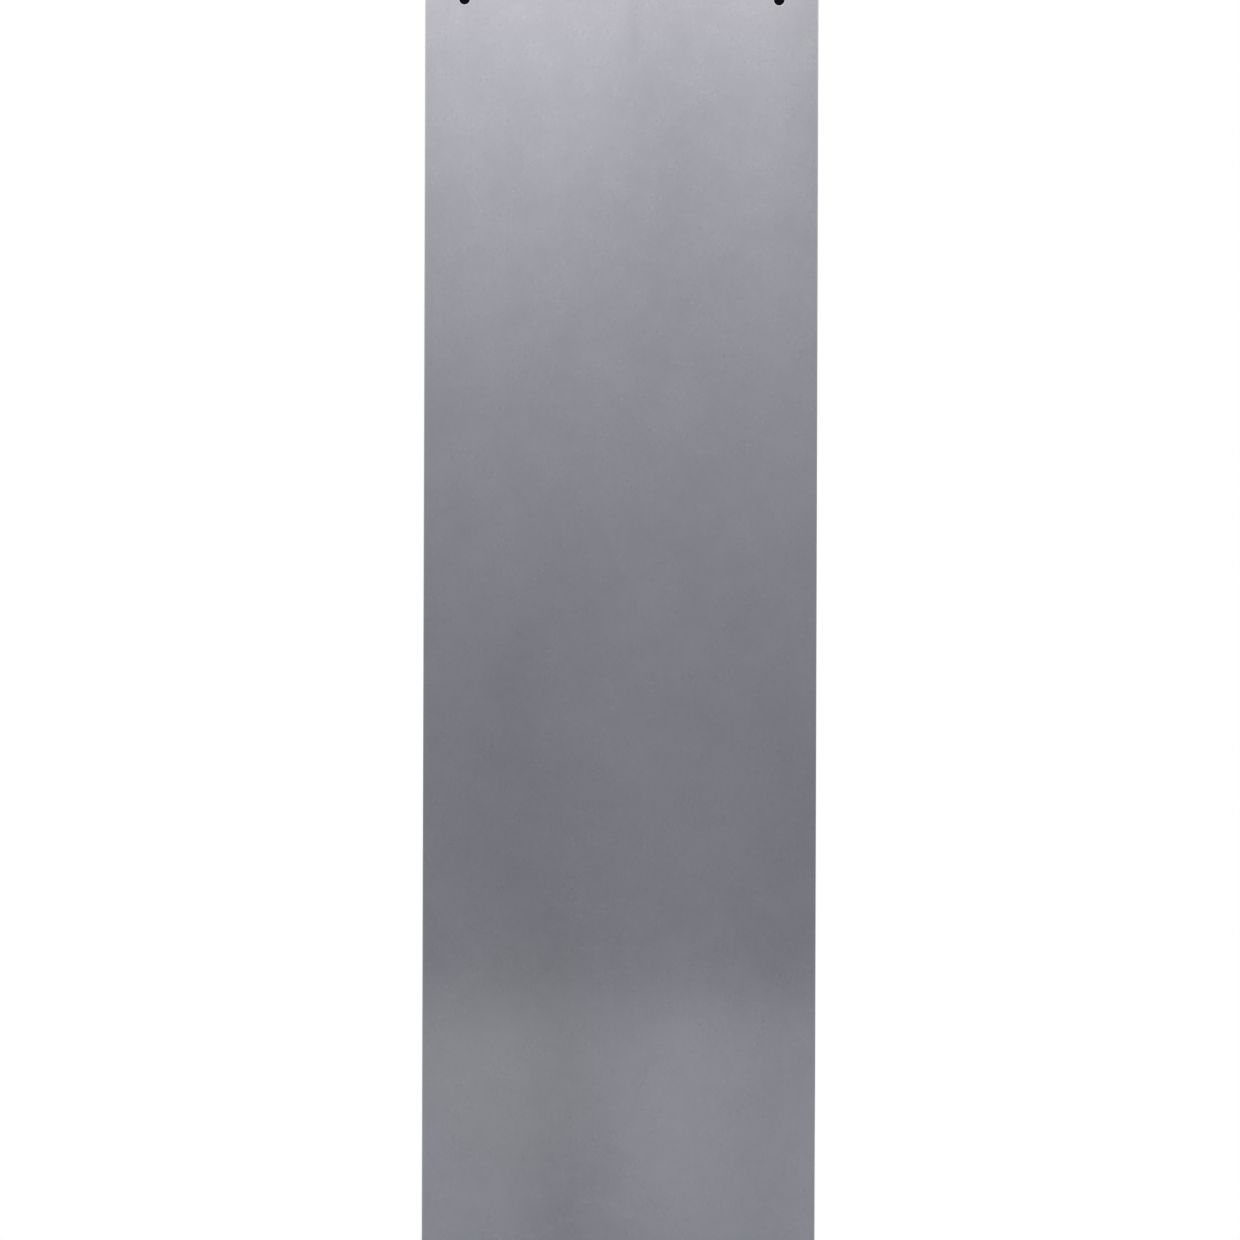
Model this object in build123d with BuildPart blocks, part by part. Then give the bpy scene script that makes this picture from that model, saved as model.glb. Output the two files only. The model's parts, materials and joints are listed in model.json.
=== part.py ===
"""Wide steel ruler, 300 mm and 12 inch, with two pin holes at its top end.

The ruler hangs from its two holes. X runs across the blade, Z along it with the zero end at the bottom,
and Y through its thickness. The plain face looks to -Y and the graduated face to +Y. The origin is midway
between the holes, halfway through the thickness. All sizes are in millimetres.
"""

from build123d import *
import os

os.makedirs("parts", exist_ok=True)

# Blade
blade_width = 50.0
blade_thickness = 1.2
top_corner_radius = 3.0
zero_corner_radius = 0.5
edge_break = 0.15

# Pin holes
hole_edge_inset = 5.0
hole_to_top_end = 5.0
hole_to_last_line = 5.2
pin_diameter = 1.2
pin_clearance = 0.1
hole_break = 0.1

# Marks of both scales, printed on the graduated face in hard black ink
print_thickness = 0.05
mark_edge_gap = 0.3
numeral_gap = 0.9

# Metric scale, along the -X edge
millimetre = 1.0
metric_length = 300.0
fine_metric_length = 50.0
metric_line_width = 0.16
half_line_reach = 2.6
millimetre_reach = 3.8
five_millimetre_reach = 5.4
centimetre_reach = 7.2
metric_numeral_height = 3.6
metric_stroke = 0.42

# Inch scale, along the +X edge
inch = 25.4
inch_count = 12
fine_inch_count = 1
inch_line_width = 0.18
thirty_second_reach = 2.8
sixteenth_reach = 4.0
eighth_reach = 5.2
quarter_reach = 6.4
half_inch_reach = 7.8
inch_reach = 9.4
inch_numeral_height = 5.0
inch_stroke = 0.55

# Numeral proportions, as shares of a numeral's own height or width
numeral_slimness = 0.56
numeral_spacing = 0.30

# Worked out from the sizes above
half_millimetre = millimetre / 2
centimetre = 10 * millimetre
thirty_second = inch / 32
millimetre_count = int(metric_length / millimetre)
fine_millimetre_count = int(fine_metric_length / millimetre)
hole_diameter = pin_diameter + pin_clearance
hole_spacing = blade_width - 2 * hole_edge_inset
top_end_height = hole_to_top_end
zero_end_height = -(max(metric_length, inch_count * inch) + hole_to_last_line)
blade_length = top_end_height - zero_end_height
face_middle_height = (top_end_height + zero_end_height) / 2

# The plain face, seen from the front, and the graduated face, read from its zero end with +X upwards
plain_face = Plane.XZ.offset(blade_thickness / 2)
graduated_face = Plane(
    origin=(0, blade_thickness / 2, zero_end_height), x_dir=(0, 0, 1), z_dir=(0, 1, 0)
)
scale_edge = blade_width / 2 - edge_break - mark_edge_gap


def metric_reach(half_millimetres):
    """How far a metric line runs in from the edge, from its place in half millimetres."""
    if half_millimetres % 20 == 0:
        return centimetre_reach
    if half_millimetres % 10 == 0:
        return five_millimetre_reach
    if half_millimetres % 2 == 0:
        return millimetre_reach
    return half_line_reach


def inch_scale_reach(thirty_seconds):
    """How far an inch line runs in from the edge, from its place in thirty-seconds."""
    steps = (
        (32, inch_reach),
        (16, half_inch_reach),
        (8, quarter_reach),
        (4, eighth_reach),
        (2, sixteenth_reach),
    )
    for step, reach in steps:
        if thirty_seconds % step == 0:
            return reach
    return thirty_second_reach


def lines_by_reach(counts, reach_of, pitch):
    """Groups the places of a scale's lines by how far they run in."""
    groups = {}
    for count in counts:
        groups.setdefault(reach_of(count), []).append(count * pitch)
    return groups


def numeral_strokes(figure, height, stroke):
    """Centre lines of one figure from 0 to 9, each a line or an arc, its lower left corner at the origin."""
    high = height - stroke
    wide = numeral_slimness * high
    bowl = wide / 2
    lower = 0.27 * high
    upper = high / 2 - lower
    lower_middle = (bowl, lower)
    upper_middle = (bowl, high - upper)
    if figure == 0:
        return (
            Line((0, bowl), (0, high - bowl)),
            Line((wide, bowl), (wide, high - bowl)),
            CenterArc((bowl, high - bowl), bowl, 0, 180),
            CenterArc((bowl, bowl), bowl, 180, 180),
        )
    if figure == 1:
        return (
            Line((bowl, 0), (bowl, high)),
            Line((bowl, high), (0.20 * wide, 0.78 * high)),
        )
    if figure == 2:
        head = CenterArc((bowl, high - bowl), bowl, -35, 200)
        return (
            head,
            Line(head @ 0, (0, 0)),
            Line((0, 0), (wide, 0)),
        )
    if figure == 3:
        return (
            CenterArc(upper_middle, upper, -90, 240),
            CenterArc(lower_middle, lower, -150, 240),
        )
    if figure == 4:
        return (
            Line((0.72 * wide, 0), (0.72 * wide, high)),
            Line((0.72 * wide, high), (0, 0.30 * high)),
            Line((0, 0.30 * high), (wide, 0.30 * high)),
        )
    if figure == 5:
        return (
            Line((0.92 * wide, high), (0.12 * wide, high)),
            Line((0.12 * wide, high), (0.06 * wide, 0.56 * high)),
            CenterArc((0.90 * bowl, 1.08 * bowl), 1.08 * bowl, -150, 275),
        )
    if figure == 7:
        return (
            Line((0, high), (wide, high)),
            Line((wide, high), (0.28 * wide, 0)),
        )
    if figure == 8:
        return (
            CenterArc(upper_middle, upper, 0, 180),
            CenterArc(upper_middle, upper, 180, 180),
            CenterArc(lower_middle, lower, 0, 180),
            CenterArc(lower_middle, lower, 180, 180),
        )
    six = (
        CenterArc((bowl, bowl), bowl, 0, 180),
        CenterArc((bowl, bowl), bowl, 180, 180),
        ThreePointArc((0, bowl), (0.16 * wide, 0.72 * high), (0.66 * wide, high)),
    )
    if figure == 6:
        return six
    middle = Axis((bowl, high / 2, 0), (0, 0, 1))
    return tuple(part.rotate(middle, 180) for part in six)


def figure_faces(height, stroke):
    """The ten figures of one numeral size, each a flat sketch of round-ended strokes."""
    faces = []
    for figure in range(10):
        strokes = numeral_strokes(figure, height, stroke)
        with BuildSketch() as outline:
            for centre_line in strokes:
                SlotArc(centre_line, stroke)
        faces.append(outline.sketch)
    return faces


def figure_places(numbers, pitch, base, height, stroke):
    """Where each figure stands when every number is centred on its own line: {figure: [(x, y), ...]}."""
    wide = numeral_slimness * (height - stroke)
    step = wide + stroke + numeral_spacing * wide
    places = {}
    for number in numbers:
        text = str(number)
        start = number * pitch - ((len(text) - 1) * step + wide) / 2
        for index, figure in enumerate(text):
            place = (start + index * step, base + stroke / 2)
            places.setdefault(int(figure), []).append(place)
    return places


def sketch_lines(groups, line_width, side):
    """Draws a scale's lines in from one long edge: side is -1 for the -X edge and 1 for the +X edge."""
    for reach, places in groups.items():
        middle = side * (scale_edge - reach / 2)
        with Locations(*[(place, middle) for place in places]):
            Rectangle(line_width, reach)


def sketch_numerals(places, faces):
    """Draws every figure of a row of numerals at its places."""
    for figure, spots in places.items():
        with Locations(*spots):
            add(faces[figure])


# Ink of the metric scale
millimetres = range(2, 2 * millimetre_count + 1, 2)
half_millimetres = range(1, 2 * fine_millimetre_count, 2)

with BuildPart() as millimetre_lines:
    with BuildSketch(graduated_face):
        millimetre_groups = lines_by_reach(millimetres, metric_reach, half_millimetre)
        sketch_lines(millimetre_groups, metric_line_width, -1)
    extrude(amount=print_thickness)
millimetre_lines.part.label = "millimetre_lines"

with BuildPart() as half_millimetre_lines:
    with BuildSketch(graduated_face):
        half_millimetre_groups = lines_by_reach(half_millimetres, metric_reach, half_millimetre)
        sketch_lines(half_millimetre_groups, metric_line_width, -1)
    extrude(amount=print_thickness)
half_millimetre_lines.part.label = "half_millimetre_lines"

centimetres = range(1, millimetre_count // 10 + 1)
metric_numeral_base = -scale_edge + centimetre_reach + numeral_gap
metric_figures = figure_faces(metric_numeral_height, metric_stroke)
metric_places = figure_places(
    centimetres, centimetre, metric_numeral_base, metric_numeral_height, metric_stroke
)
with BuildPart() as centimetre_numerals:
    with BuildSketch(graduated_face):
        sketch_numerals(metric_places, metric_figures)
    extrude(amount=print_thickness)
centimetre_numerals.part.label = "centimetre_numerals"

# Ink of the inch scale
sixteenths = range(2, 32 * inch_count + 1, 2)
thirty_seconds = range(1, 32 * fine_inch_count, 2)

with BuildPart() as inch_lines:
    with BuildSketch(graduated_face):
        sixteenth_groups = lines_by_reach(sixteenths, inch_scale_reach, thirty_second)
        sketch_lines(sixteenth_groups, inch_line_width, 1)
    extrude(amount=print_thickness)
inch_lines.part.label = "inch_lines"

with BuildPart() as thirty_second_lines:
    with BuildSketch(graduated_face):
        thirty_second_groups = lines_by_reach(thirty_seconds, inch_scale_reach, thirty_second)
        sketch_lines(thirty_second_groups, inch_line_width, 1)
    extrude(amount=print_thickness)
thirty_second_lines.part.label = "thirty_second_lines"

inches = range(1, inch_count + 1)
inch_numeral_base = scale_edge - inch_reach - numeral_gap - inch_numeral_height
inch_figures = figure_faces(inch_numeral_height, inch_stroke)
inch_places = figure_places(inches, inch, inch_numeral_base, inch_numeral_height, inch_stroke)
with BuildPart() as inch_numerals:
    with BuildSketch(graduated_face):
        sketch_numerals(inch_places, inch_figures)
    extrude(amount=print_thickness)
inch_numerals.part.label = "inch_numerals"

# Blade: one strip with rounded corners, broken edges and two pin holes
with BuildPart() as blade:
    with BuildSketch(plain_face) as outline:
        with Locations((0, face_middle_height)):
            Rectangle(blade_width, blade_length)
        fillet(outline.vertices().group_by(Axis.Y)[-1], top_corner_radius)
        fillet(outline.vertices().group_by(Axis.Y)[0], zero_corner_radius)
    extrude(amount=-blade_thickness)
    faces_by_depth = blade.faces().sort_by(Axis.Y)
    chamfer(faces_by_depth[0].edges() + faces_by_depth[-1].edges(), edge_break)
    with BuildSketch(plain_face):
        with GridLocations(hole_spacing, 0, 2, 1):
            Circle(hole_diameter / 2)
    extrude(amount=-blade_thickness, mode=Mode.SUBTRACT)
    chamfer(blade.edges(Select.LAST).filter_by(GeomType.CIRCLE), hole_break)
blade.part.label = "blade"

pieces = (
    blade,
    millimetre_lines,
    half_millimetre_lines,
    centimetre_numerals,
    inch_lines,
    thirty_second_lines,
    inch_numerals,
)
for piece in pieces:
    export_step(piece.part, f"parts/{piece.part.label}.step")
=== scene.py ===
"""The looks of the wide steel ruler: a satin stainless blade and its printed black scales, in metres.

X runs across the blade, Z up it and Y through it. The plain face looks to -Y, the graduated face to +Y.
"""

import json
import math

import bmesh
import bpy
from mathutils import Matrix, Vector
from mathutils.geometry import delaunay_2d_cdt


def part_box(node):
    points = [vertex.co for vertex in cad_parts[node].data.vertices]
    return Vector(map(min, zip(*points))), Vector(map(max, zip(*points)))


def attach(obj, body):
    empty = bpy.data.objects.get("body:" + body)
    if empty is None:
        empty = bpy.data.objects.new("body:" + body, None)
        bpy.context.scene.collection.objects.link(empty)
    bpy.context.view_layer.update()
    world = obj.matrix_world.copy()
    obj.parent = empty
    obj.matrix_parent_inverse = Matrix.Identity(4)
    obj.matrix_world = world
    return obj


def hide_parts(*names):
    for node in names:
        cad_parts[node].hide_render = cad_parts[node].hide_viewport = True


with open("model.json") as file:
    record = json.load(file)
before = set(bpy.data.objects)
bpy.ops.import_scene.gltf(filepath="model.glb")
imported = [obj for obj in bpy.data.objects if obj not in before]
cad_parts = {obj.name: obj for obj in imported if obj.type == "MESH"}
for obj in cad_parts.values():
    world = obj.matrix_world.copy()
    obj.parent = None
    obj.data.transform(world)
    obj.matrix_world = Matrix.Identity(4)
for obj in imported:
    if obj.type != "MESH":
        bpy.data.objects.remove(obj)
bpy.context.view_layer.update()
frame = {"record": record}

MM = 0.001
MICRON = 0.000001
scene = bpy.context.scene

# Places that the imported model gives
blade_low, blade_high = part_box("blade")
half_width = (blade_high.x - blade_low.x) / 2
half_thickness = (blade_high.y - blade_low.y) / 2
zero_end = blade_low.z
top_end = blade_high.z
ink_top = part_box("millimetre_lines")[1].y
holes = next(mount for mount in frame["record"]["mounts"] if mount["name"] == "pin_holes")
hole_radius = holes["dims"]["hole_r_mm"] * MM
hole_middles = [side * holes["dims"]["spacing_x_mm"] * MM / 2 for side in (-1, 1)]

# Finer sizes of the blade, as in the CAD source
top_corner_radius = 3.0 * MM
zero_corner_radius = 0.5 * MM
edge_break = 0.15 * MM
hole_break = 0.1 * MM

# Scales: a line's place is counted along the blade from its zero end
half_millimetre = 0.5 * MM
thirty_second = 25.4 / 32 * MM
millimetre_count = 300
fine_millimetre_count = 50
inch_count = 12
fine_inch_count = 1
mark_edge_gap = 0.3 * MM
numeral_gap = 0.9 * MM
metric_line_width = 0.16 * MM
metric_reaches = ((20, 7.2 * MM), (10, 5.4 * MM), (2, 3.8 * MM), (1, 2.6 * MM))
metric_height = 3.6 * MM
metric_stroke = 0.42 * MM
inch_line_width = 0.18 * MM
inch_reaches = (
    (32, 9.4 * MM),
    (16, 7.8 * MM),
    (8, 6.4 * MM),
    (4, 5.2 * MM),
    (2, 4.0 * MM),
    (1, 2.8 * MM),
)
inch_height = 5.0 * MM
inch_stroke = 0.55 * MM
numeral_slimness = 0.56
numeral_spacing = 0.30
scale_edge = half_width - edge_break - mark_edge_gap
ink_slope = 0.02 * MM


# ---------------------------------------------------------------- mesh helpers


def new_piece(name, mesh_builder, material, node_names):
    """Makes a mesh piece that rides on the ruler in place of the CAD nodes named."""
    mesh = bpy.data.meshes.new(name)
    mesh_builder.normal_update()
    mesh_builder.to_mesh(mesh)
    mesh_builder.free()
    piece = bpy.data.objects.new(name, mesh)
    scene.collection.objects.link(piece)
    mesh.materials.append(material)
    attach(piece, "root")
    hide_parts(*node_names)
    return piece


def rounded_outline(inset):
    """The blade's outline as (x, z) points, anticlockwise seen from -Y, drawn in by inset."""
    # Side, end, radius, start angle in degrees, steps
    corners = (
        (1, zero_end, zero_corner_radius, -90, 6),
        (1, top_end, top_corner_radius, 0, 16),
        (-1, top_end, top_corner_radius, 90, 16),
        (-1, zero_end, zero_corner_radius, 180, 6),
    )
    points = []
    for side, end, radius, start, steps in corners:
        into = 1 if end == zero_end else -1
        middle = (side * (half_width - radius), end + into * radius)
        drawn = radius - inset
        for step in range(steps + 1):
            angle = math.radians(start + 90 * step / steps)
            points.append((middle[0] + drawn * math.cos(angle), middle[1] + drawn * math.sin(angle)))
    return points


def circle_points(middle, radius, steps=64):
    """A circle on the XZ plane, anticlockwise seen from -Y."""
    turns = [2 * math.pi * step / steps for step in range(steps)]
    return [(middle + radius * math.cos(a), radius * math.sin(a)) for a in turns]


def bridge(builder, low_ring, high_ring):
    """Joins two rings of as many vertices with quads."""
    count = len(low_ring)
    for index in range(count):
        after = (index + 1) % count
        builder.faces.new((low_ring[index], low_ring[after], high_ring[after], high_ring[index]))


def broken_profile(break_size, steps):
    """(inset, depth) pairs of an edge break rounded over a quarter turn, from the face to the wall."""
    turns = [math.pi / 2 * step / steps for step in range(steps + 1)]
    return [(break_size * (1 - math.sin(a)), break_size * (1 - math.cos(a))) for a in turns]


def loop_edges(builder, loop):
    """The edges round a closed loop of vertices, in order."""
    return [builder.edges.get(pair) for pair in zip(loop, loop[1:] + loop[:1])]


def build_blade():
    """The steel strip: both faces, softened long edges and corners, and two holes with broken rims."""
    builder = bmesh.new()
    edge_steps = broken_profile(edge_break, steps=4)
    rim_steps = broken_profile(hole_break, steps=3)
    section = [(inset, -half_thickness + depth) for inset, depth in edge_steps]
    section += [(inset, half_thickness - depth) for inset, depth in reversed(edge_steps)]
    rim_section = [(inset, -half_thickness + depth) for inset, depth in rim_steps]
    rim_section += [(inset, half_thickness - depth) for inset, depth in reversed(rim_steps)]

    rings = []
    for inset, y in section:
        rings.append([builder.verts.new((x, y, z)) for x, z in rounded_outline(inset)])
    for low_ring, high_ring in zip(rings, rings[1:]):
        bridge(builder, low_ring, high_ring)

    front_loops, back_loops = [rings[0]], [rings[-1]]
    for middle in hole_middles:
        rims = []
        for inset, y in rim_section:
            points = circle_points(middle, hole_radius + inset)
            rims.append([builder.verts.new((x, y, z)) for x, z in points])
        for low_ring, high_ring in zip(rims, rims[1:]):
            bridge(builder, high_ring, low_ring)
        front_loops.append(rims[0])
        back_loops.append(rims[-1])

    for loops, outward in ((front_loops, -1), (back_loops, 1)):
        edges = [edge for loop in loops for edge in loop_edges(builder, loop)]
        bmesh.ops.triangle_fill(builder, use_beauty=True, edges=edges, normal=(0, outward, 0))
    bmesh.ops.recalc_face_normals(builder, faces=builder.faces)
    return builder


# ---------------------------------------------------------------- scales


def face_point(along, across, y):
    """A point of the graduated face, from its place along the blade from zero and across it."""
    return (across, y, zero_end + along)


def add_line(builder, along, side, reach, width):
    """One printed line: a thin block with a slightly drawn-in top."""
    outer, inner = side * scale_edge, side * (scale_edge - reach)
    low_across, high_across = min(outer, inner), max(outer, inner)
    corners = ((-1, low_across), (1, low_across), (1, high_across), (-1, high_across))
    rings = []
    for y, drawn in ((half_thickness, 0.0), (ink_top, ink_slope)):
        ring = []
        for sign, across in corners:
            inward = drawn if across == low_across else -drawn
            place = face_point(along + sign * (width / 2 - drawn), across + inward, y)
            ring.append(builder.verts.new(place))
        rings.append(ring)
    bridge(builder, rings[0], rings[1])
    builder.faces.new(rings[1])
    builder.faces.new(reversed(rings[0]))


def build_lines(counts, reaches, pitch, side, width):
    """All the lines at the given counts; the first step in reaches that divides a count sets its length."""
    builder = bmesh.new()
    for count in counts:
        reach = next(reach for step, reach in reaches if count % step == 0)
        add_line(builder, count * pitch, side, reach, width)
    bmesh.ops.recalc_face_normals(builder, faces=builder.faces)
    return builder


def metric_lines(counts):
    """Lines of the metric scale, counted in half millimetres."""
    return build_lines(counts, metric_reaches, half_millimetre, -1, metric_line_width)


def inch_lines(counts):
    """Lines of the inch scale, counted in thirty-seconds."""
    return build_lines(counts, inch_reaches, thirty_second, 1, inch_line_width)


def arc(middle, radius, start, sweep):
    """Points of an arc, from its middle, radius, start angle and sweep in degrees."""
    steps = max(8, round(abs(sweep) / 6))
    turns = [math.radians(start + sweep * step / steps) for step in range(steps + 1)]
    return [(middle[0] + radius * math.cos(a), middle[1] + radius * math.sin(a)) for a in turns]


def arc_through(first, second, third):
    """Points of the arc through three points."""
    a, b, c = (Vector(p) for p in (first, second, third))
    d = 2 * (a.x * (b.y - c.y) + b.x * (c.y - a.y) + c.x * (a.y - b.y))
    squares = (a.length_squared, b.length_squared, c.length_squared)
    x = (squares[0] * (b.y - c.y) + squares[1] * (c.y - a.y) + squares[2] * (a.y - b.y)) / d
    y = (squares[0] * (c.x - b.x) + squares[1] * (a.x - c.x) + squares[2] * (b.x - a.x)) / d
    start, by, end = (math.degrees(math.atan2(p.y - y, p.x - x)) for p in (a, b, c))
    sweep = (end - start) % 360
    if (by - start) % 360 > sweep:
        sweep -= 360
    return arc((x, y), math.hypot(a.x - x, a.y - y), start, sweep)


def numeral_strokes(figure, height, stroke):
    """Centre lines of one figure from 0 to 9, its lower left corner at the origin."""
    high = height - stroke
    wide = numeral_slimness * high
    bowl = wide / 2
    lower = 0.27 * high
    upper = high / 2 - lower
    lower_middle = (bowl, lower)
    upper_middle = (bowl, high - upper)
    if figure == 0:
        return [
            [(0, bowl), (0, high - bowl)],
            [(wide, bowl), (wide, high - bowl)],
            arc((bowl, high - bowl), bowl, 0, 180),
            arc((bowl, bowl), bowl, 180, 180),
        ]
    if figure == 1:
        return [[(bowl, 0), (bowl, high)], [(bowl, high), (0.20 * wide, 0.78 * high)]]
    if figure == 2:
        head = arc((bowl, high - bowl), bowl, -35, 200)
        return [head, [head[0], (0, 0)], [(0, 0), (wide, 0)]]
    if figure == 3:
        return [arc(upper_middle, upper, -90, 240), arc(lower_middle, lower, -150, 240)]
    if figure == 4:
        stem = 0.72 * wide
        bar = 0.30 * high
        return [[(stem, 0), (stem, high)], [(stem, high), (0, bar)], [(0, bar), (wide, bar)]]
    if figure == 5:
        return [
            [(0.92 * wide, high), (0.12 * wide, high)],
            [(0.12 * wide, high), (0.06 * wide, 0.56 * high)],
            arc((0.90 * bowl, 1.08 * bowl), 1.08 * bowl, -150, 275),
        ]
    if figure == 7:
        return [[(0, high), (wide, high)], [(wide, high), (0.28 * wide, 0)]]
    if figure == 8:
        return [
            arc(upper_middle, upper, 0, 180),
            arc(upper_middle, upper, 180, 180),
            arc(lower_middle, lower, 0, 180),
            arc(lower_middle, lower, 180, 180),
        ]
    six = [
        arc((bowl, bowl), bowl, 0, 180),
        arc((bowl, bowl), bowl, 180, 180),
        arc_through((0, bowl), (0.16 * wide, 0.72 * high), (0.66 * wide, high)),
    ]
    if figure == 6:
        return six
    return [[(wide - x, high - y) for x, y in path] for path in six]


def stroke_outline(path, stroke):
    """The outline of a round-ended stroke along a path."""
    half = stroke / 2
    points = [Vector(p) for p in path]
    normals = []
    for index in range(len(points)):
        before = points[max(index - 1, 0)]
        after = points[min(index + 1, len(points) - 1)]
        along = (after - before).normalized()
        normals.append(Vector((-along.y, along.x)))
    right = [p - n * half for p, n in zip(points, normals)]
    left = [p + n * half for p, n in zip(points, normals)]
    cap_steps = 10

    def cap(middle, start_normal):
        """Half a turn round one end of the stroke, without its first and last point."""
        start = math.atan2(start_normal.y, start_normal.x)
        turns = [start + math.pi * step / cap_steps for step in range(1, cap_steps)]
        return [middle + half * Vector((math.cos(a), math.sin(a))) for a in turns]

    end_cap = cap(points[-1], -normals[-1])
    start_cap = cap(points[0], normals[0])
    return right + end_cap + list(reversed(left)) + start_cap


def figure_triangles(figure, height, stroke):
    """One figure as flat triangles: (points, triangles), its strokes joined into one shape."""
    points, outlines = [], []
    for path in numeral_strokes(figure, height, stroke):
        outline = stroke_outline(path, stroke)
        outlines.append(list(range(len(points), len(points) + len(outline))))
        points.extend(outline)
    only_inside = 1
    same_point = 1e-5
    in_millimetres = [p / MM for p in points]
    found = delaunay_2d_cdt(in_millimetres, [], outlines, only_inside, same_point)
    joined, _, triangles, _, _, sources = found
    inside = [triangle for triangle, outline in zip(triangles, sources) if outline]
    return [p * MM for p in joined], inside


def add_figure(builder, shape, along, across):
    """Stands one figure on the graduated face as a closed solid."""
    points, triangles = shape
    rings = []
    for y in (half_thickness, ink_top):
        rings.append([builder.verts.new(face_point(along + p.x, across + p.y, y)) for p in points])
    bottom, top = rings
    for triangle in triangles:
        builder.faces.new([top[i] for i in triangle])
        builder.faces.new([bottom[i] for i in reversed(triangle)])
    sides = [side for triangle in triangles for side in zip(triangle, triangle[1:] + triangle[:1])]
    known = set(sides)
    for a, b in sides:
        if (b, a) not in known:
            builder.faces.new((bottom[a], bottom[b], top[b], top[a]))
    used = {i for triangle in triangles for i in triangle}
    for index in range(len(points)):
        if index not in used:
            builder.verts.remove(bottom[index])
            builder.verts.remove(top[index])


def build_numerals(numbers, pitch, base, height, stroke):
    """A row of numbers, each centred on its own line of the scale."""
    builder = bmesh.new()
    shapes = [figure_triangles(figure, height, stroke) for figure in range(10)]
    wide = numeral_slimness * (height - stroke)
    step = wide + stroke + numeral_spacing * wide
    for number in numbers:
        text = str(number)
        start = number * pitch - ((len(text) - 1) * step + wide) / 2
        for index, figure in enumerate(text):
            add_figure(builder, shapes[int(figure)], start + index * step, base + stroke / 2)
    bmesh.ops.recalc_face_normals(builder, faces=builder.faces)
    return builder


# ---------------------------------------------------------------- node helpers


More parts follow.
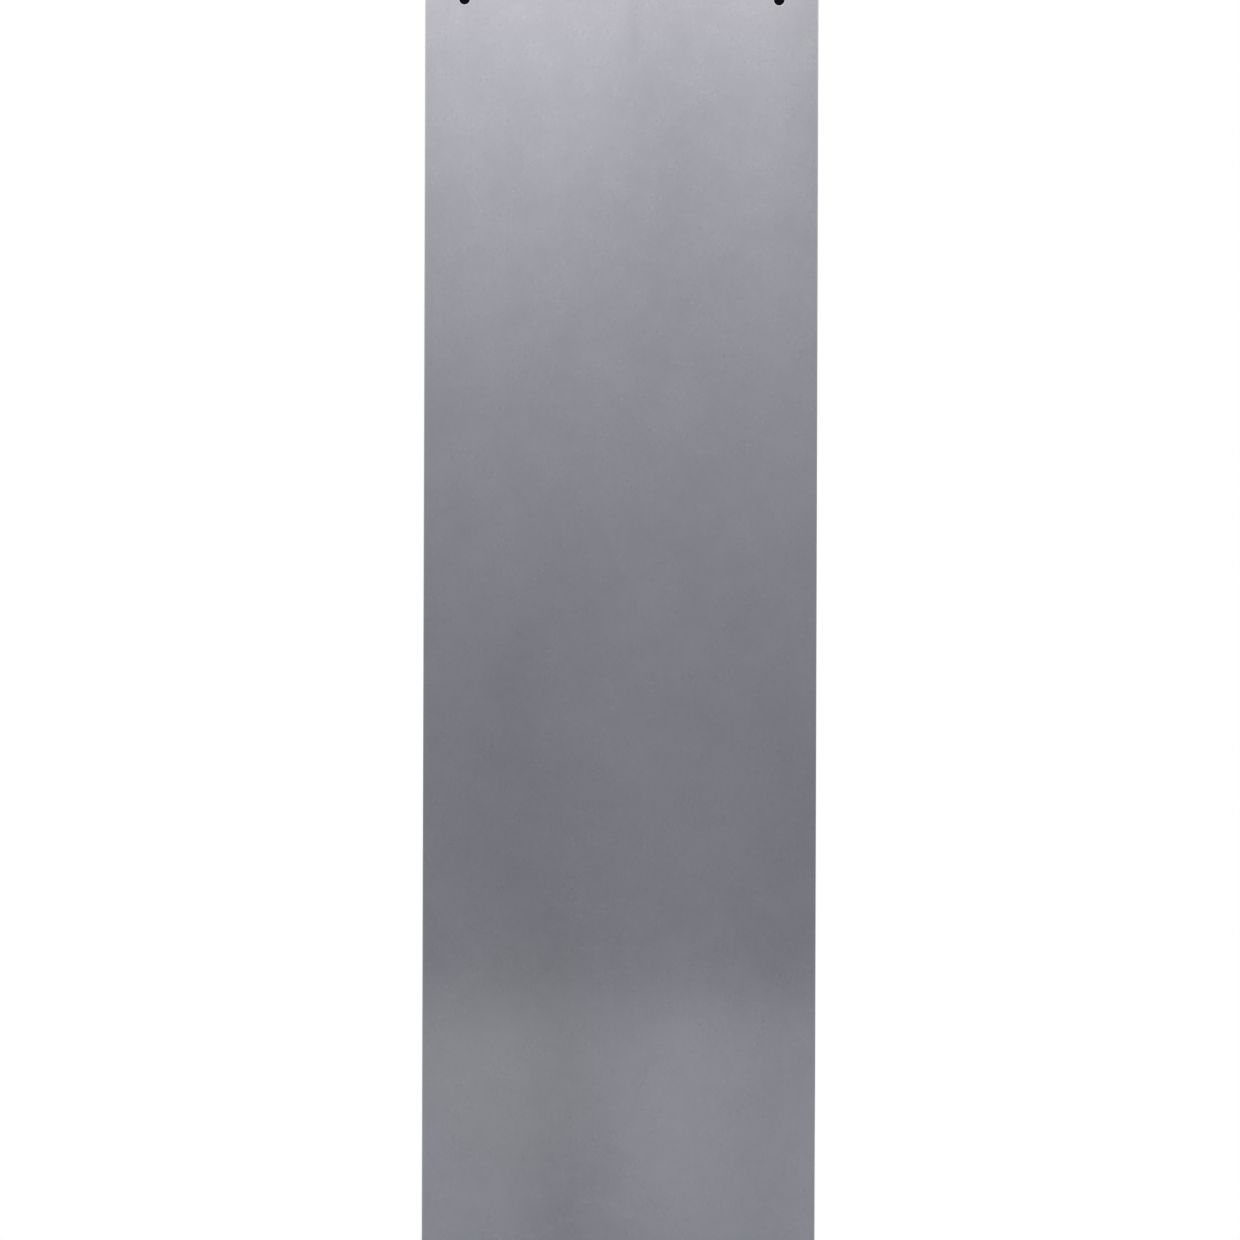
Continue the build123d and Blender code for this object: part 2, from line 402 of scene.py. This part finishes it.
class Nodes:
    """Short calls for building a node tree that ends in one shader."""

    def __init__(self, tree, output_kind):
        tree.nodes.clear()
        self.tree = tree
        self.output = self.add(output_kind)

    def add(self, kind, inputs=None, **settings):
        """A node with its settings, and with each input linked or set."""
        made = self.tree.nodes.new(kind)
        for key, value in settings.items():
            setattr(made, key, value)
        for key, value in (inputs or {}).items():
            if isinstance(value, bpy.types.NodeSocket):
                self.tree.links.new(value, made.inputs[key])
            else:
                made.inputs[key].default_value = value
        return made

    def end_in(self, shader):
        """Makes a shader the material's surface, or the world's."""
        self.tree.links.new(shader.outputs[0], self.output.inputs["Surface"])

    def math(self, operation, a, b=0.0):
        """One arithmetic step on two values."""
        return self.add("ShaderNodeMath", {0: a, 1: b}, operation=operation).outputs[0]

    def plus(self, a, b):
        return self.math("ADD", a, b)

    def minus(self, a, b):
        return self.math("SUBTRACT", a, b)

    def times(self, a, b):
        return self.math("MULTIPLY", a, b)

    def spread(self, value, low, high, low_to, high_to, smooth=False):
        """Maps a value from one range to another, and no further than its ends."""
        made = self.add(
            "ShaderNodeMapRange",
            {"Value": value, "From Min": low, "From Max": high, "To Min": low_to, "To Max": high_to},
            interpolation_type="SMOOTHSTEP" if smooth else "LINEAR",
        )
        return made.outputs["Result"]

    def place(self):
        """Places on the thing itself, in its own units."""
        return self.add("ShaderNodeTexCoord").outputs["Object"]

    def place_in_mm(self):
        """Places on the ruler in millimetres."""
        return self.stretch(self.place(), (1 / MM, 1 / MM, 1 / MM))

    def axis(self, vector, name):
        """One axis of a vector or a colour."""
        return self.add("ShaderNodeSeparateXYZ", {"Vector": vector}).outputs[name]

    def stretch(self, vector, scale):
        """Coordinates multiplied by a scale for each axis."""
        return self.add("ShaderNodeMapping", {"Vector": vector, "Scale": scale}).outputs["Vector"]

    def noise(self, vector, scale=1.0, *, detail, roughness):
        """Soft random values round one half."""
        made = self.add(
            "ShaderNodeTexNoise",
            {"Vector": vector, "Scale": scale, "Detail": detail, "Roughness": roughness},
        )
        return made.outputs["Fac"]

    def specks(self, vector, scale, share, radius):
        """Small soft dots in a share of the cells of a random pattern, 1 at their middles."""
        cells = self.add(
            "ShaderNodeTexVoronoi",
            {"Vector": vector, "Scale": scale, "Randomness": 1.0},
            voronoi_dimensions="2D",
        )
        dots = self.spread(cells.outputs["Distance"], 0.0, radius, 1.0, 0.0, smooth=True)
        picked = self.math("LESS_THAN", self.axis(cells.outputs["Color"], "X"), share)
        return self.times(dots, picked)

    def ellipse(self, place, middle, reach, lean=0):
        """A soft patch: 1 at its middle and 0 from its reach on, leaned about Y by degrees."""
        patch = self.add(
            "ShaderNodeMapping",
            {"Vector": place, "Location": middle, "Rotation": (0, -math.radians(lean), 0), "Scale": reach},
            vector_type="TEXTURE",
        ).outputs["Vector"]
        return self.spread(self.distance(patch), 0.0, 1.0, 1.0, 0.0, smooth=True)

    def distance(self, vector):
        """How far a place is from its own zero."""
        return self.add("ShaderNodeVectorMath", {0: vector}, operation="LENGTH").outputs["Value"]

    def scaled(self, colour, factor):
        """A colour multiplied by a grey factor."""
        made = self.add("ShaderNodeVectorMath", {0: colour, "Scale": factor}, operation="SCALE")
        return made.outputs["Vector"]

    def ramp(self, value, stops):
        """A colour that follows a value through straight steps: (value from 0 to 1, colour) pairs."""
        made = self.add("ShaderNodeValToRGB", {"Fac": value})
        elements = made.color_ramp.elements
        made.color_ramp.interpolation = "LINEAR"
        elements[0].position = stops[0][0]
        elements[1].position = stops[-1][0]
        for position, _ in stops[1:-1]:
            elements.new(position)
        for element, (_, colour) in zip(elements, stops):
            element.color = (*colour, 1)
        return made.outputs["Color"]

    def bump(self, height, distance, normal=None):
        """A normal tilted by a height from 0 to 1, which stands for a distance in metres."""
        inputs = {"Height": height, "Distance": distance, "Strength": 1.0}
        if normal is not None:
            inputs["Normal"] = normal
        return self.add("ShaderNodeBump", inputs).outputs["Normal"]

    def glow(self, colour, strength=1.0):
        """Plain light of a colour."""
        return self.add("ShaderNodeEmission", {"Color": colour, "Strength": strength})

    def mix(self, factor, first, second):
        """Goes from the first shader to the second as the factor goes from 0 to 1."""
        return self.add("ShaderNodeMixShader", {"Fac": factor, 1: first.outputs[0], 2: second.outputs[0]})

    def seen(self):
        """1 for what the camera sees, by itself or in metal or glass, and 0 for soft light."""
        rays = self.add("ShaderNodeLightPath")
        seen = self.math("MAXIMUM", rays.outputs["Is Camera Ray"], rays.outputs["Is Glossy Ray"])
        return self.math("MAXIMUM", seen, rays.outputs["Is Transmission Ray"])


def new_material(name):
    """An empty node material and its nodes."""
    material = bpy.data.materials.new(name)
    material.use_nodes = True
    return material, Nodes(material.node_tree, "ShaderNodeOutputMaterial")


# ---------------------------------------------------------------- materials


steel_colour = (0.600, 0.603, 0.640)
ink_colour = (0.011, 0.011, 0.013)

# Each pass of scratches: its turn on the faces in radians, and how fine it is
scratch_passes = ((0.9, 0.10), (-0.35, 0.07), (1.45, 0.13))

# A faint stain that runs down from between the holes on the plain face, in millimetres
stain_middle = (1.6, -0.6, -2.5)
stain_reach = (1.6, 0.8, 8.0)
stain_strength = 0.05


def steel_marks(nodes, place):
    """Fine dark and light marks: flecks, painted shade of small pits and painted glints, gathered in soft
    beds.
    """
    on_face = nodes.add("ShaderNodeCombineXYZ", {"X": nodes.axis(place, "X"), "Y": nodes.axis(place, "Z")})
    on_face = on_face.outputs["Vector"]
    # Painted shade: darker dots in the colour, standing for small pits
    pit_shade = nodes.specks(on_face, 1.15, share=0.35, radius=0.16)
    # Painted highlights: lighter dots in the colour, standing for glints
    painted_glints = nodes.specks(nodes.stretch(on_face, (1.0, 0.6, 1.0)), 1.0, share=0.30, radius=0.14)
    flecks = nodes.noise(nodes.stretch(place, (4.2, 4.2, 2.6)), detail=1.0, roughness=0.6)
    beds = nodes.noise(place, 0.35, detail=2.0, roughness=0.6)
    beds = nodes.spread(beds, 0.42, 0.62, 0.25, 1.0)
    dark = nodes.plus(nodes.spread(flecks, 0.27, 0.37, 0.08, 0.0), nodes.times(pit_shade, 0.16))
    light = nodes.plus(nodes.spread(flecks, 0.63, 0.73, 0.0, 0.06), nodes.times(painted_glints, 0.14))
    return nodes.times(nodes.minus(light, dark), beds)


def scratch_lines(nodes, place):
    """Light scratches in a few directions: 1 along a scratch and 0 off it."""
    scratches = 0.0
    for turn, fineness in scratch_passes:
        turned = nodes.add("ShaderNodeMapping", {"Vector": place, "Rotation": (0, turn, 0)})
        turned = turned.outputs["Vector"]
        streak = nodes.stretch(turned, (26 * fineness, 1, fineness))
        streak = nodes.noise(streak, detail=1.0, roughness=0.4)
        off_line = nodes.math("ABSOLUTE", nodes.minus(streak, 0.5))
        line = nodes.spread(off_line, 0.0, 0.006, 1.0, 0.0)
        gaps = nodes.noise(nodes.stretch(turned, (0.5, 0.5, 0.12)), detail=2.0, roughness=0.5)
        line = nodes.times(line, nodes.spread(gaps, 0.60, 0.68, 0.0, 1.0))
        scratches = nodes.math("MAXIMUM", scratches, line)
    return scratches


def satin_steel():
    """Rolled stainless steel: a fine grain along the blade, a soft mottle, waviness and light scratches,
    with painted shade on its walls and painted glints among its fine marks.
    """
    material, nodes = new_material("satin_steel")
    place = nodes.place_in_mm()
    cloud = nodes.noise(place, 0.09, detail=5.0, roughness=0.85)
    mottle = nodes.noise(place, 0.8, detail=3.0, roughness=0.7)
    grain = nodes.noise(nodes.stretch(place, (3.4, 3.4, 0.5)), detail=2.0, roughness=0.6)
    waves = nodes.noise(nodes.stretch(place, (0.035, 0.035, 0.012)), detail=1.0, roughness=0.4)
    scratches = scratch_lines(nodes, place)
    stain = nodes.ellipse(place, stain_middle, stain_reach)

    # The walls between the faces are ground along their length, and their colour is darkened as painted
    # shade
    facing = nodes.axis(nodes.add("ShaderNodeTexCoord").outputs["Normal"], "Y")
    wall = nodes.spread(nodes.math("ABSOLUTE", facing), 0.25, 0.60, 1.0, 0.0)
    grind_and_wall_shade = nodes.noise(nodes.stretch(place, (0.4, 14.0, 0.4)), detail=2.0, roughness=0.6)

    shade = nodes.spread(cloud, 0.35, 0.65, 0.964, 1.036)
    shade = nodes.plus(shade, steel_marks(nodes, place))
    # Painted shade: the walls' colour is made 12 to 30 per cent darker, streaked along their length
    shade = nodes.minus(shade, nodes.times(wall, nodes.spread(grind_and_wall_shade, 0.3, 0.7, 0.30, 0.12)))
    shade = nodes.minus(shade, nodes.times(stain, stain_strength))

    rough = nodes.spread(mottle, 0.2, 0.8, 0.095, 0.115)
    rough = nodes.plus(rough, nodes.spread(cloud, 0.3, 0.7, -0.01, 0.01))
    rough = nodes.plus(rough, nodes.times(scratches, 0.06))
    rough = nodes.plus(rough, nodes.times(wall, 0.15))

    normal = nodes.bump(waves, 40 * MICRON)
    normal = nodes.bump(mottle, 1.2 * MICRON, normal)
    normal = nodes.bump(grain, 1.0 * MICRON, normal)
    normal = nodes.bump(scratches, -1.5 * MICRON, normal)
    normal = nodes.bump(nodes.times(grind_and_wall_shade, wall), 4 * MICRON, normal)

    shader = nodes.add(
        "ShaderNodeBsdfPrincipled",
        {
            "Base Color": nodes.scaled(steel_colour, shade),
            "Metallic": 1.0,
            "Roughness": rough,
            "Normal": normal,
        },
    )
    nodes.end_in(shader)
    return material


def black_ink():
    """Hard black printing ink: a little uneven, with a faint orange-peel skin and greyer thin spots."""
    material, nodes = new_material("black_ink")
    place = nodes.place_in_mm()
    patchy = nodes.noise(place, 0.8, detail=3.0, roughness=0.6)
    skin = nodes.noise(place, 9.0, detail=2.0, roughness=0.5)
    thin = nodes.noise(place, 6.0, detail=2.0, roughness=0.6)
    thin = nodes.spread(thin, 0.66, 0.74, 0.0, 1.0)
    shade = nodes.plus(nodes.spread(patchy, 0.3, 0.7, 0.7, 1.4), nodes.times(thin, 2.0))
    shader = nodes.add(
        "ShaderNodeBsdfPrincipled",
        {
            "Base Color": nodes.scaled(ink_colour, shade),
            "Roughness": nodes.spread(patchy, 0.3, 0.7, 0.42, 0.58),
            "Normal": nodes.bump(skin, 4 * MICRON),
        },
    )
    nodes.end_in(shader)
    return material


# ---------------------------------------------------------------- camera

view_width = 0.1576
camera_lens = 85.0
camera_sensor = 36.0
camera_height = -0.07885
camera_lean = math.radians(0.176)
camera_distance = view_width * camera_lens / camera_sensor + half_thickness

camera_data = bpy.data.cameras.new("camera")
camera_data.lens = camera_lens
camera_data.sensor_width = camera_sensor
camera_data.clip_start = 0.01
camera_data.clip_end = 20.0
camera = bpy.data.objects.new("camera", camera_data)
scene.collection.objects.link(camera)
camera.location = (0, -camera_distance, camera_height)
camera.rotation_euler = (math.radians(90), -camera_lean, 0)
scene.camera = camera

# ---------------------------------------------------------------- the ruler

steel = satin_steel()
ink = black_ink()

blade = new_piece("steel_blade", build_blade(), steel, ["blade"])

metric_base = -scale_edge + metric_reaches[0][1] + numeral_gap
inch_base = scale_edge - inch_reaches[0][1] - numeral_gap - inch_height
centimetre_numerals = build_numerals(
    range(1, millimetre_count // 10 + 1),
    20 * half_millimetre,
    metric_base,
    metric_height,
    metric_stroke,
)
inch_numerals = build_numerals(
    range(1, inch_count + 1),
    32 * thirty_second,
    inch_base,
    inch_height,
    inch_stroke,
)
millimetres = range(2, 2 * millimetre_count + 1, 2)
half_millimetres = range(1, 2 * fine_millimetre_count, 2)
sixteenths = range(2, 32 * inch_count + 1, 2)
thirty_seconds = range(1, 32 * fine_inch_count, 2)
ink_pieces = (
    ("millimetre_ink", "millimetre_lines", metric_lines(millimetres)),
    ("half_millimetre_ink", "half_millimetre_lines", metric_lines(half_millimetres)),
    ("centimetre_numeral_ink", "centimetre_numerals", centimetre_numerals),
    ("inch_ink", "inch_lines", inch_lines(sixteenths)),
    ("thirty_second_ink", "thirty_second_lines", inch_lines(thirty_seconds)),
    ("inch_numeral_ink", "inch_numerals", inch_numerals),
)
for name, node_name, builder in ink_pieces:
    new_piece(name, builder, ink, [node_name])

# Everything but the two flat faces is smooth
flat_from = 0.9999
for polygon in blade.data.polygons:
    polygon.use_smooth = abs(polygon.normal.y) < flat_from

# ---------------------------------------------------------------- stage


def stage_mesh(name, vertices, faces, material):
    """A mesh that isn't part of the ruler."""
    mesh = bpy.data.meshes.new(name)
    mesh.from_pydata(vertices, [], faces)
    mesh.materials.append(material)
    made = bpy.data.objects.new(name, mesh)
    scene.collection.objects.link(made)
    return made


def upright(start, end, low, high):
    """The corners of an upright card, from its two ends on plan and its low and high edge."""
    return [(*start, low), (*end, low), (*end, high), (*start, high)]


def glow_card(name, corners, material):
    """A card of light that shows only where metal mirrors it."""
    card = stage_mesh(name, corners, [(0, 1, 2, 3)], material)
    card.visible_camera = False
    card.visible_diffuse = False
    card.visible_shadow = False
    return card


# Floor
floor_reach = 0.62
floor_fade_start = 0.25
floor_fade_end = 0.60
floor_z = zero_end - 0.05 * MM


def pale_floor():
    """Pale paper that fades into the white background well before it would show behind the ruler."""
    material, nodes = new_material("floor_paper")
    away = nodes.distance(nodes.place())
    fade = nodes.spread(away, floor_fade_start, floor_fade_end, 0.0, 1.0, smooth=True)
    paper = nodes.add("ShaderNodeBsdfPrincipled", {"Base Color": (0.80, 0.80, 0.81, 1), "Roughness": 0.75})
    clear = nodes.add("ShaderNodeBsdfTransparent")
    white = nodes.glow((1, 1, 1, 1))
    nodes.end_in(nodes.mix(fade, paper, nodes.mix(nodes.seen(), clear, white)))
    return material


floor = stage_mesh(
    "floor",
    [
        (-floor_reach, -floor_reach, 0),
        (floor_reach, -floor_reach, 0),
        (floor_reach, floor_reach, 0),
        (-floor_reach, floor_reach, 0),
    ],
    [(0, 1, 2, 3)],
    pale_floor(),
)
floor.location = (0, 0, floor_z)

# Dark pins that fill the holes: painted shade, standing for the deep shade that the holes look into
pin_clearance = 0.02 * MM
pin_sink = 0.25 * MM
pin_sides = 32


def pin_black():
    """Dull black: painted shade, as deep in a hole."""
    material, nodes = new_material("pin_black")
    shader = nodes.add(
        "ShaderNodeBsdfPrincipled",
        {"Base Color": (0.003, 0.003, 0.005, 1), "Roughness": 0.6, "Specular IOR Level": 0.05},
    )
    nodes.end_in(shader)
    return material


def hanging_pin(name, middle, material):
    """A dark pin that fills a hole, sunk a little below both faces: painted shade in the hole."""
    ring = circle_points(middle, hole_radius - pin_clearance, pin_sides)
    reach = half_thickness - pin_sink
    vertices = [(x, y, z) for y in (-reach, reach) for x, z in ring]
    faces = []
    for index in range(pin_sides):
        after = (index + 1) % pin_sides
        faces.append((index, pin_sides + index, pin_sides + after, after))
    faces.append(tuple(range(pin_sides)))
    faces.append(tuple(reversed(range(pin_sides, 2 * pin_sides))))
    stage_mesh(name, vertices, faces, material)


hole_shade_material = pin_black()
for name, middle in zip(("left_hole_shade_pin", "right_hole_shade_pin"), hole_middles):
    hanging_pin(name, middle, hole_shade_material)

# Light panel in front of the ruler, which the plain face mirrors. Its own units are millimetres of the
# blade as the camera sees it: X across from the middle of the view, Z up from there.
panel_distance = 0.40
mirror_share = 1 + panel_distance / (camera_distance - half_thickness)
panel_scale = mirror_share * MM
panel_reach = 450
panel_top = 230
panel_floor_gap = 1
panel_low = (floor_z - camera_height) / panel_scale + panel_floor_gap

# The room that the panel stands for: a dim wall, a bright ceiling above and a pale table below
wall_level = 0.325
ceiling_level = 0.54
ceiling_limit = 1.1
ceiling_start = -40
ceiling_full = 80
ceiling_curve = 2.4
table_level = 0.12
table_edge = -49
table_blur = 6
table_fade = 0.05
floor_level = 0.20
floor_edge = -98
floor_blur = 12

# Soft lamps and shades in it: gain, place across and up, half width, half height, lean in degrees
panel_patches = (
    (0.07, -15, 66, 18, 56, 0),
    (-0.20, 28, 80, 10, 70, 0),
    (-0.08, 8, 64, 9, 55, 0),
    (-0.08, -13, -20, 12, 42, 0),
    (-0.18, -7, -80, 8, 75, 0),
    (0.06, 6, -25, 8, 45, 8),
    (0.08, 8, -62, 10, 30, 0),
    (-0.06, 21, -40, 7, 50, 0),
    (-0.12, -2, -90, 28, 20, 0),
)

# Its colour: cooler low down and pinker at the ceiling, with a warm lamp low on the left
low_tint = (0.93, 0.94, 1.01)
high_tint = (0.95, 0.96, 0.99)
high_tint_share = 0.94
ceiling_tint = (0.99, 0.95, 0.98)
warm_gain = (0.03, 0.04, -0.03)
warm_middle = (-14, 0, -58)
warm_reach = (20, 1, 22)


def room_level(nodes, up):
    """How bright the room is at a height of the view."""
    top_rise = (panel_top - ceiling_start) / (ceiling_full - ceiling_start)
    rise = nodes.spread(up, ceiling_start, panel_top, 0.0, top_rise)
    ceiling = nodes.times(nodes.math("POWER", rise, ceiling_curve), ceiling_level)
    ceiling = nodes.math("MINIMUM", ceiling, ceiling_limit)
    table = nodes.spread(up, table_edge - table_blur, table_edge + table_blur, table_level, 0.0, smooth=True)
    fade = nodes.spread(up, floor_edge, table_edge, table_fade, 0.0)
    below = nodes.spread(up, floor_edge - floor_blur, floor_edge + floor_blur, floor_level, 0.0, smooth=True)
    level = nodes.plus(ceiling, wall_level)
    level = nodes.plus(level, nodes.minus(table, fade))
    return nodes.plus(level, below)


def panel_light():
    """The room's glow with its lamps and shades, for the light panel."""
    material, nodes = new_material("panel_light")
    place = nodes.place()
    up = nodes.axis(place, "Z")
    total = 1.0
    for gain, across, height, half_across, half_up, lean in panel_patches:
        patch = nodes.ellipse(place, (across, 0, height), (half_across, 1, half_up), lean)
        total = nodes.plus(total, nodes.times(patch, gain))
    light = nodes.times(room_level(nodes, up), total)

    share = nodes.spread(up, -ceiling_full, ceiling_full, 0.0, 1.0)
    tint = nodes.ramp(share, ((0.0, low_tint), (high_tint_share, high_tint), (1.0, ceiling_tint)))
    warm = nodes.ellipse(place, warm_middle, warm_reach)
    tint = nodes.add("ShaderNodeVectorMath", {0: warm_gain, 1: warm, 2: tint}, operation="MULTIPLY_ADD")
    nodes.end_in(nodes.glow(tint.outputs["Vector"], light))
    return material


panel = glow_card(
    "light_panel",
    upright((panel_reach, 0), (-panel_reach, 0), panel_low, panel_top),
    panel_light(),
)
panel.location = (0, -half_thickness - panel_distance, camera_height)
panel.scale = (panel_scale, panel_scale, panel_scale)

# Cards at the sides, which the walls of the blade mirror: name, side, level
card_reach = panel_reach * panel_scale
card_top = 0.7
side_cards = (("left_card", -1, 0.75), ("right_card", 1, 0.50))

# Card behind the ruler, which the graduated face mirrors: its level at heights above the floor
back_distance = 0.36
back_levels = ((0.0, 0.93), (0.06, 0.78), (0.16, 0.52), (0.27, 0.60), (0.42, 0.92), (0.75, 0.70))
back_top = back_levels[-1][0]


def grey_light(name, level):
    """An even grey glow."""
    material, nodes = new_material(name)
    nodes.end_in(nodes.glow((level, level, level, 1)))
    return material


def back_light():
    """A grey glow that follows the back card's levels up from the floor."""
    material, nodes = new_material("back_light")
    share = nodes.spread(nodes.axis(nodes.place(), "Z"), 0.0, back_top, 0.0, 1.0)
    stops = [(height / back_top, (level, level, level)) for height, level in back_levels]
    nodes.end_in(nodes.glow(nodes.ramp(share, stops)))
    return material


for name, side, level in side_cards:
    across = side * card_reach
    corners = upright((across, -panel_distance), (across, panel_distance), floor_z, card_top)
    glow_card(name, corners, grey_light(name, level))

back_card = glow_card("back_card", upright((-card_reach, 0), (card_reach, 0), 0, back_top), back_light())
back_card.location = (0, back_distance, floor_z)


def area_light(name, place, target, size, watts):
    """A rectangular softbox aimed at a target."""
    data = bpy.data.lights.new(name, "AREA")
    data.shape = "RECTANGLE"
    data.size, data.size_y = size
    data.energy = watts
    made = bpy.data.objects.new(name, data)
    scene.collection.objects.link(made)
    made.location = place
    made.rotation_euler = (Vector(target) - Vector(place)).to_track_quat("-Z", "Y").to_euler()


area_light(
    "overhead_softbox", place=(-0.35, -0.2, 1.2), target=(0, 0, zero_end), size=(1.0, 1.0), watts=3.0
)
area_light("back_softbox", place=(0.5, 1.2, 0.5), target=(0, 0, -0.15), size=(0.9, 0.9), watts=0.8)


def world_light():
    """Soft even light; the camera, metal and anything clear see a plain white background."""
    world = bpy.data.worlds.new("studio")
    scene.world = world
    world.use_nodes = True
    nodes = Nodes(world.node_tree, "ShaderNodeOutputWorld")
    soft = nodes.add("ShaderNodeBackground", {"Color": (1, 1, 1, 1), "Strength": 0.8})
    plain = nodes.add("ShaderNodeBackground", {"Color": (1, 1, 1, 1), "Strength": 1.0})
    nodes.end_in(nodes.mix(nodes.seen(), soft, plain))


world_light()
scene.view_settings.view_transform = "Standard"
